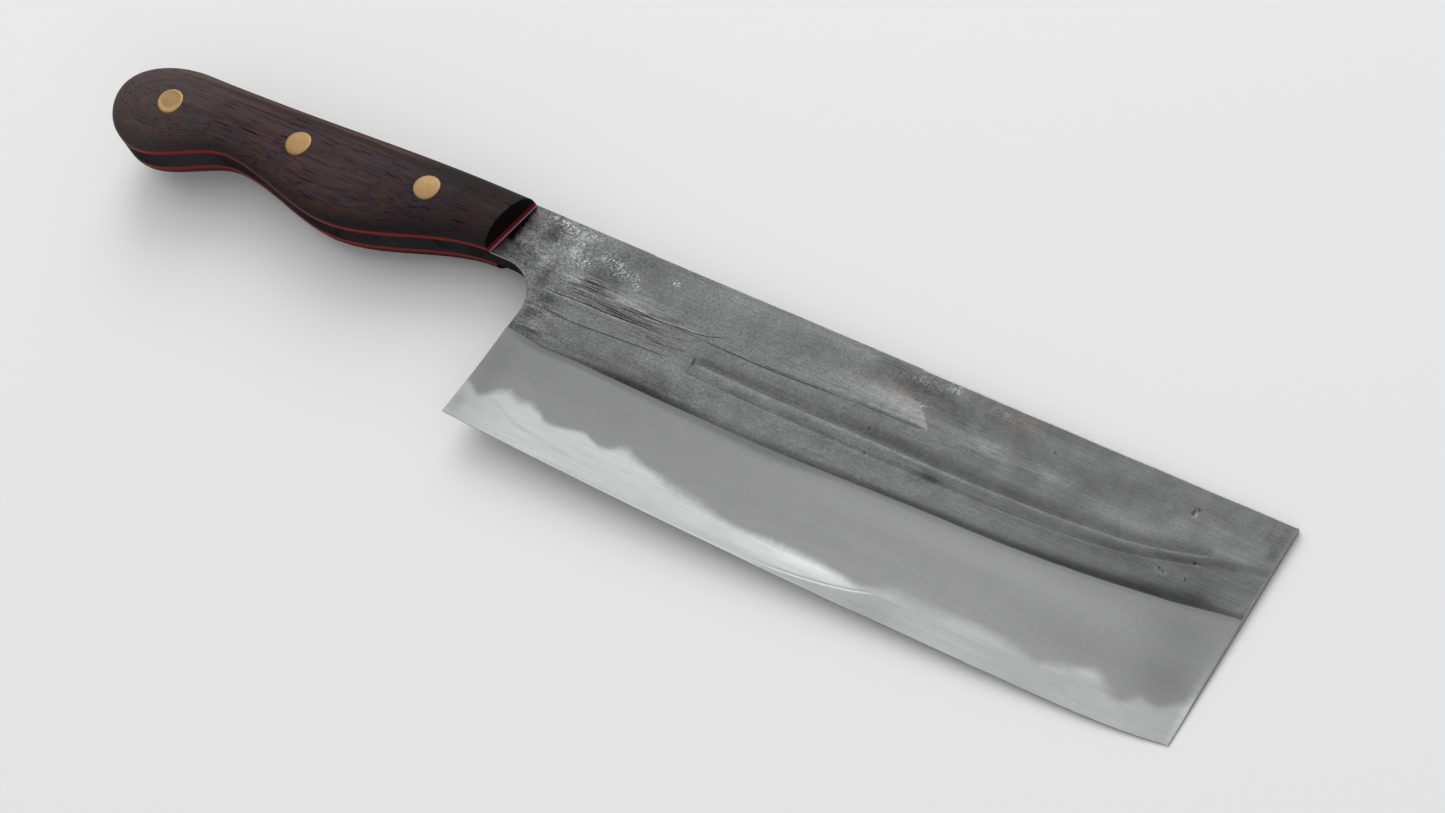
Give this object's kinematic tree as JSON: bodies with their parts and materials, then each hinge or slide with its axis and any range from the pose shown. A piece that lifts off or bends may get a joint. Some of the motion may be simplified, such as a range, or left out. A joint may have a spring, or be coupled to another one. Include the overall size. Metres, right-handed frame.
{
  "type": "kitchen knife",
  "caption": "Rectangular vegetable cleaver with a laminated full-tang blade, red liners and a pinned dark wooden handle.",
  "frame": {"origin": "centre of the knife's bounding box; the middle plane of the blade is the XY plane", "axes": "+X from the handle towards the tip, +Y from the cutting edge towards the spine, +Z through the blade's thickness towards the right-hand side"},
  "size_m": [0.2797, 0.0502, 0.0198],
  "materials": {
    "core_steel": "fine satin, polished along the edge",
    "cladding": "forged grey skin above the bevel line, satin bevel",
    "liner": "dyed vulcanised fibre",
    "scale": "oiled rosewood",
    "pin": "satin, sanded flush"
  },
  "bodies": {
    "root": {"core_steel": "core_steel", "cladding_right": "cladding", "cladding_left": "cladding", "liner_right": "liner", "liner_left": "liner", "scale_right": "scale", "scale_left": "scale", "pin_front": "pin", "pin_middle": "pin", "pin_rear": "pin"}
  },
  "joints": []
}
